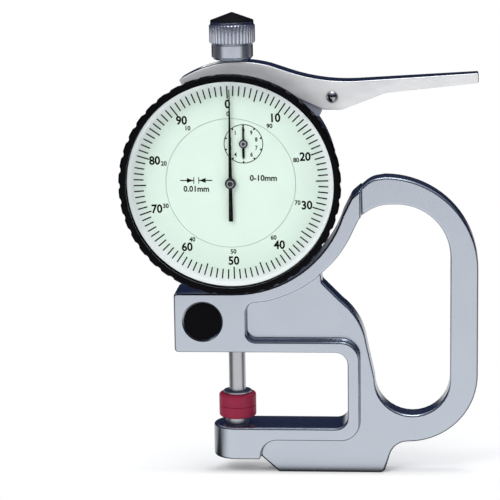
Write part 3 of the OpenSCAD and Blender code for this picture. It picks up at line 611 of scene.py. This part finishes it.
def printUnits():
    look = unitMark
    shape = bmesh.new()
    mark = Matrix.Translation((*look["mark"], 0))
    length, width = look["arrow"]
    line = look["reach"] - look["gap"]
    for side in (-1, 1):
        inkBar(shape, *look["bar"], mark @ Matrix.Translation((side * look["gap"], 0, 0)))
        lineMid = side * (look["gap"] + line / 2)
        inkBar(shape, line, look["line"], mark @ Matrix.Translation((lineMid, 0, 0)))
        arrowMid = side * (look["gap"] + length * 2 / 3 + look["arrowGap"])
        inkArrow(shape, length, width, side, mark @ Matrix.Translation((arrowMid, 0, 0)))
    for text in (look["value"], look["range"]):
        place = Matrix.Translation((*text["place"], 0))
        inkText(shape, text["words"], look["text"], text["narrow"], place, look["bold"])
    inkPiece(shape, "unit_print", "root")


printScale()
printCounter()
printUnits()
print("dial printed")

dialRim = {  # the pale sloping wall between the dial and its glass
    "foot": 26.15 * mm,
    "head": 26.9 * mm,
    "outer": 27.04 * mm,
    "height": 1.85 * mm,
    "sides": 144,
}
hubs = {
    "counterTop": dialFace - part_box("counter_pointer")[0].y,
    "needle": {"tip": (0.46 * mm, 4.5 * mm), "tail": (0.66 * mm, -3.6 * mm)},
    "counterBoss": (1.15 * mm, 0.2 * mm),
    "bossCrown": 0.9,
    "counterRing": (0.6 * mm, 0.3 * mm),
    "hubTop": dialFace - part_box("pointer_hub")[0].y,
    "hubRing": (0.8 * mm, 0.2 * mm),
    "ringHeight": 0.05 * mm,
}


def buildDialRim():
    look = dialRim
    low, high = ink["height"], look["height"]
    corners = [(look["foot"], low), (look["outer"], low), (look["outer"], high), (look["head"], high)]
    shape = bmesh.new()
    turnedRing(shape, corners, Matrix.Identity(4), look["sides"])
    inkPiece(shape, "dial_rim", "bezel_unit", 0, "dial_face")


def buildHubs():
    look = hubs
    radius, height = look["counterBoss"]
    low, high = look["counterTop"], look["counterTop"] + height
    shape = bmesh.new()
    for width, reach in look["needle"].values():
        inkBar(shape, width, abs(reach), counterPlace @ Matrix.Translation((0, reach / 2, low)))
    inkPiece(shape, "counter_needle", "takeup_wheel")
    shape = bmesh.new()
    inkDot(shape, radius, counterPlace, low, high, look["bossCrown"])
    inkPiece(shape, "counter_boss", "takeup_wheel", 0, "hub_metal")
    shape = bmesh.new()
    flatRing(shape, *look["counterRing"], high, high + look["ringHeight"], counterPlace)
    inkPiece(shape, "counter_ring", "takeup_wheel", 0, "steel")
    low, high = look["hubTop"], look["hubTop"] + look["ringHeight"]
    shape = bmesh.new()
    flatRing(shape, *look["hubRing"], low, high, Matrix.Identity(4))
    inkPiece(shape, "hub_ring", "pointer_unit", 0, "steel")


buildDialRim()
buildHubs()
print("dial rim and hubs built")


# studio: soft boxes and a pale floor in a dark room
lampAim = Vector((0.0, 0.0, 0.06))
lamps = {
    "key": {"place": (-0.55, -0.75, 0.75), "size": 0.6, "power": 6.5, "mirrored": False},
    "fill": {"place": (0.7, -0.6, 0.35), "size": 0.7, "power": 2.2, "mirrored": False},
    "top": {"place": (0.0, 0.0, 0.9), "size": 0.5, "power": 3.0, "mirrored": True},
    "back": {"place": (0.25, 0.7, 0.8), "size": 0.6, "power": 4.0, "mirrored": False},
}


def softLight(name, look):
    lamp = bpy.data.lights.new(name, "AREA")
    lamp.size = look["size"]
    lamp.energy = look["power"]
    light = bpy.data.objects.new(name, lamp)
    light.location = look["place"]
    light.rotation_mode = "QUATERNION"
    light.rotation_quaternion = (lampAim - light.location).to_track_quat("-Z", "Y")
    light.visible_glossy = look["mirrored"]
    scene.collection.objects.link(light)


def rays(tree, *names):
    path = tree.nodes.new("ShaderNodeLightPath")
    found = Value(tree, path.outputs[names[0]])
    for name in names[1:]:
        found = found + Value(tree, path.outputs[name])
    return found.clamped()


paleFloor = {
    "half": 3.0,
    "colour": (0.86, 0.87, 0.89, 1),
    "rough": 0.9,
    "near": 0.1,  # how far it is lifted to white under the gauge
    "foot": 0.03,  # half the length of the ground that the gauge shades
    "fade": (0.004, 0.05),  # how far from it the lift begins and where it is full
    "ahead": (0.001, 9),  # from here in front of the gauge the lift grows so many times sooner
}
mirroredFloor = {  # how bright metal sees the floor: bright in front and behind, dim beside the gauge
    "contact": (0.0065, 0.0095),  # nearer than this it lies in the gauge's own shade
    "contactLevel": 0.05,
    "front": 0.95,
    "frontEdge": (0.0, -0.02),
    "back": 0.75,
    "backEnd": (0.7, 0.45),
    "beside": 0.13,
    "near": 0.3,  # beside and close to the foot
    "nearEnd": (0.25, 0.09),
    "wedge": (1.9, 1.0),  # slopes between beside, and front or back
    "wedgeTip": 0.02,
}


def mirroredLevel(aside, along):
    look = mirroredFloor
    away = along.absolute()
    least = look["contactLevel"]
    shaded = away.ramp(*look["contact"]) * (1 - least) + least
    wedge = (aside / (away + look["wedgeTip"])).ramp(*look["wedge"])
    front = along.ramp(*look["frontEdge"])
    back = along.ramp(*look["backEnd"]) * look["back"]
    side = look["beside"] + aside.ramp(*look["nearEnd"]) * (look["near"] - look["beside"])
    return (side + wedge * (back + front * (look["front"] - back) - side)) * shaded


def buildFloor():
    look = paleFloor
    shape = bmesh.new()
    bmesh.ops.create_grid(shape, x_segments=2, y_segments=2, size=look["half"])
    floor = bpy.data.objects.new("floor", meshFrom(shape, "floor"))
    scene.collection.objects.link(floor)
    material, plain, place = newFinish("floor", {"Base Color": look["colour"], "Roughness": look["rough"]})
    floor.data.materials.append(material)
    tree = material.node_tree
    eye = rays(tree, "Is Camera Ray", "Is Transmission Ray")
    mirror = rays(tree, "Is Glossy Ray")
    aside, along = place.along("X").absolute(), place.along("Y")
    lip, hurry = look["ahead"]
    beyond = (aside - look["foot"]).positive()
    depth = along.positive() + (-1 * along - lip).positive() * hurry
    far = (beyond * beyond + depth * depth).root().ramp(*look["fade"])
    lift = eye * (look["near"] + far * (1 - look["near"]))
    strength = mirror * mirroredLevel(aside, along) + (1 - mirror)
    glow = place.node("ShaderNodeEmission", {}, {"Color": white, "Strength": strength})
    plain = Value(tree, plain.outputs[0])
    both = plain.node("ShaderNodeMixShader", {}, {0: (lift + mirror).clamped(), 1: plain, 2: glow})
    feed(tree.nodes["Material Output"], {"Surface": both})


room = {
    "grey": (0.45, 0.45, 0.45, 1),  # lights the gauge evenly
    "low": (0.006, 0.013, 0.045, 1),  # what metal sees low past the floor
    "ceiling": (0.45, 0.48, 0.55, 1),  # and high above
    "rise": (0.45, 0.9),  # sines of the heights between the two
}


def buildWorld():
    look = room
    world = bpy.data.worlds.new("studio")
    scene.world = world
    world.use_nodes = True
    tree = world.node_tree
    facing = Value(tree, tree.nodes.new("ShaderNodeTexCoord").outputs["Generated"])
    mirrored = facing.along("Z").ramp(*look["rise"]).mixed(look["low"], look["ceiling"])
    lit = rays(tree, "Is Glossy Ray").mixed(look["grey"], mirrored)
    seen = rays(tree, "Is Camera Ray", "Is Transmission Ray").mixed(lit, white)
    feed(tree.nodes["Background"], {"Color": seen})


camera = {
    "azimuth": 4.86,
    "elevation": 11.12,
    "roll": 0.84,  # the picture's top leans left
    "distance": 0.6,
    "aim": (-21.49 * mm, 0, 60.47 * mm),
    "focus": 2246.7,  # in pixels of the 500 pixel picture
    "picture": 500,
    "sensor": 36,
    "clipStart": 0.05,
}


def buildCamera():
    look = camera
    data = bpy.data.cameras.new("camera")
    data.sensor_width = look["sensor"]
    data.lens = look["sensor"] * look["focus"] / look["picture"]
    data.clip_start = look["clipStart"]
    eye = bpy.data.objects.new("camera", data)
    scene.collection.objects.link(eye)
    turn, rise = math.radians(look["azimuth"]), math.radians(look["elevation"])
    back = Vector((math.sin(turn) * math.cos(rise), -math.cos(turn) * math.cos(rise), math.sin(rise)))
    eye.location = Vector(look["aim"]) + back * look["distance"]
    eye.rotation_mode = "QUATERNION"
    roll = Matrix.Rotation(math.radians(-look["roll"]), 3, "Z").to_quaternion()
    eye.rotation_quaternion = (-back).to_track_quat("-Z", "Y") @ roll
    scene.camera = eye


for name, look in lamps.items():
    softLight(name, look)
buildFloor()
buildWorld()
buildCamera()
scene.view_settings.view_transform = "Standard"
print("studio ready")
